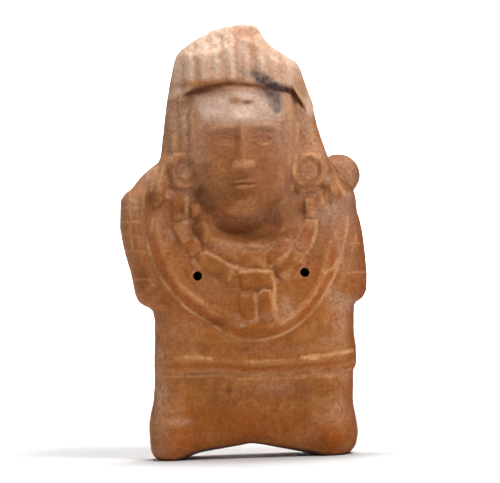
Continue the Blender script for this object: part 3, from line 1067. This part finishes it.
def grain(size_mm, low=0.35, high=0.65, where=None):
    """Patchiness from 0 to 1, in patches of about a size."""
    sockets = {"Vector": where or spot, "Scale": 1000 / size_mm, "Detail": 3, "Roughness": 0.55}
    noise = add("TexNoise", sockets)
    spread = {"Value": noise.outputs["Fac"], "From Min": low, "From Max": high}
    return add("MapRange", spread, clamp=True).outputs["Result"]


def times(a, b):
    return add("Math", {0: a, 1: b}, operation="MULTIPLY").outputs["Value"]


def plus(a, b):
    return add("Math", {0: a, 1: b}, operation="ADD").outputs["Value"]


def over(below, colour, share):
    """A colour laid over what is below it."""
    return add("Mix", {0: share, 6: below, 7: colour}, data_type="RGBA").outputs[2]


def tinted(below, colour, share):
    """A colour darkened by a glaze of another one."""
    glaze = {0: share, 6: below, 7: colour}
    return add("Mix", glaze, data_type="RGBA", blend_type="MULTIPLY").outputs[2]


def mark(name):
    return add("Attribute", attribute_name=name).outputs["Fac"]


spot = add("TexCoord").outputs["Object"]
wiped = add("Mapping", {"Vector": spot, "Scale": (1, 1, 0.2)}).outputs["Vector"]
crossed = add("Mapping", {"Vector": spot, "Scale": (0.2, 1, 1)}).outputs["Vector"]
colour = over((0.370, 0.120, 0.019, 1), (0.470, 0.172, 0.044, 1), grain(14))
colour = over(colour, (0.260, 0.080, 0.013, 1), times(grain(6, 0.42, 0.66), 0.5))
colour = over(colour, (0.580, 0.245, 0.080, 1), times(grain(3.4, 0.45, 0.68), 0.45))
for name, paint, strength, size_mm, low, high in LAYERS:
    colour = over(colour, (*paint, 1), times(times(mark(name), strength), grain(size_mm, low, high)))
colour = over(colour, (0.680, 0.350, 0.160, 1), times(grain(0.7, 0.5, 0.75, wiped), 0.2))
colour = tinted(colour, (0.700, 0.560, 0.430, 1), times(grain(0.8, 0.42, 0.75, crossed), 0.45))
colour = tinted(colour, (0.730, 0.590, 0.460, 1), times(grain(1.1, 0.45, 0.72), 0.7))
colour = over(colour, (0.100, 0.097, 0.102, 1), times(mark("smoke"), 0.85))
colour = over(colour, (0.035, 0.028, 0.032, 1), times(mark("soot"), 0.85))
tree.links.new(colour, surface.inputs["Base Color"])
polish = add("MapRange", {"Value": grain(4), "To Min": 0.65, "To Max": 0.85}).outputs["Result"]
tree.links.new(polish, surface.inputs["Roughness"])
surface.inputs["Specular IOR Level"].default_value = 0.12
tooth = plus(times(grain(0.9, 0.2, 0.8), 0.6), grain(0.3, 0.2, 0.8))
bump = add("Bump", {"Height": tooth, "Strength": 0.5, "Distance": 0.00025})
tree.links.new(bump.outputs["Normal"], surface.inputs["Normal"])
rattle.data.materials.clear()
rattle.data.materials.append(clay)

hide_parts("clay_figure")
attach(rattle, "root")

# The studio: a pale floor that sweeps up into a wall all round, soft daylight, a large soft key light from
# the upper right, and a camera far off at the figure's mid-height, rolled two degrees as it was held.
FLOOR_RADIUS = 2.4
SWEEP_RADIUS = 0.8
WALL_TOP = 2.2
sweep = bmesh.new()
profile = [(0, 0), (FLOOR_RADIUS * 0.2, 0), (FLOOR_RADIUS, 0)]
for step in range(1, 13):
    turn = math.pi / 2 * step / 12
    profile.append((FLOOR_RADIUS + SWEEP_RADIUS * math.sin(turn), SWEEP_RADIUS * (1 - math.cos(turn))))
profile.append((FLOOR_RADIUS + SWEEP_RADIUS, WALL_TOP))
line = [sweep.verts.new((reach, 0, height)) for reach, height in profile]
edges = [sweep.edges.new(pair) for pair in zip(line, line[1:])]
bmesh.ops.spin(
    sweep, geom=line + edges, cent=(0, 0, 0), axis=(0, 0, 1), angle=2 * math.pi, steps=96, use_merge=True
)
bmesh.ops.remove_doubles(sweep, verts=sweep.verts, dist=0.0001)
floor = shaped("studio_floor", sweep)
floor.location.z = figure_low.z
floor.data.shade_smooth()
paper = bpy.data.materials.new("white_paper")
paper.use_nodes = True
paper.node_tree.nodes["Principled BSDF"].inputs["Base Color"].default_value = (0.8, 0.8, 0.8, 1)
paper.node_tree.nodes["Principled BSDF"].inputs["Roughness"].default_value = 0.9
floor.data.materials.append(paper)

LOOKED_AT = Vector((0.00279, 0.0055, 0.08575))
CAMERA_DISTANCE = 1.6
VIEW_WIDTH = 0.2
SENSOR_WIDTH = 36
ROLL = math.radians(2)
lens = bpy.data.cameras.new("studio_camera")
lens.sensor_width = SENSOR_WIDTH
lens.lens = SENSOR_WIDTH * CAMERA_DISTANCE / VIEW_WIDTH
camera = placed("studio_camera", lens)
camera.location = LOOKED_AT - Vector((0, CAMERA_DISTANCE, 0))
camera.rotation_euler = (math.pi / 2, ROLL, 0)
bpy.context.scene.camera = camera

# A light is its place, the point that it is aimed at, its size, its watts and its spread in degrees
LIGHTS = {
    "key_light": ((0.6, -0.9, 1.5), LOOKED_AT, 0.4, 20, 180),
    "fill_light": ((-1.1, -1.3, 0.7), LOOKED_AT, 0.9, 1.1, 180),
    "top_light": ((0, 0.35, 1.5), (0, 0.35, 0), 0.6, 9, 120),
    "floor_light": ((0, 0.9, 1.4), (0, 1.6, 0), 0.5, 22, 100),
    "wall_light": ((0, 1.7, 1.2), (0, 3.1, 0.35), 0.5, 22, 90),
}
for name, (place, aim, size, watts, spread_angle) in LIGHTS.items():
    light = bpy.data.lights.new(name, "AREA")
    light.size = size
    light.energy = watts
    light.spread = math.radians(spread_angle)
    lamp = placed(name, light)
    lamp.location = place
    lamp.rotation_euler = (Vector(aim) - Vector(place)).to_track_quat("-Z", "Y").to_euler()
sky = bpy.data.worlds.new("studio_daylight")
sky.use_nodes = True
sky.node_tree.nodes["Background"].inputs["Color"].default_value = (1, 1, 1, 1)
sky.node_tree.nodes["Background"].inputs["Strength"].default_value = 0.1
bpy.context.scene.world = sky
bpy.context.scene.view_settings.view_transform = "Standard"
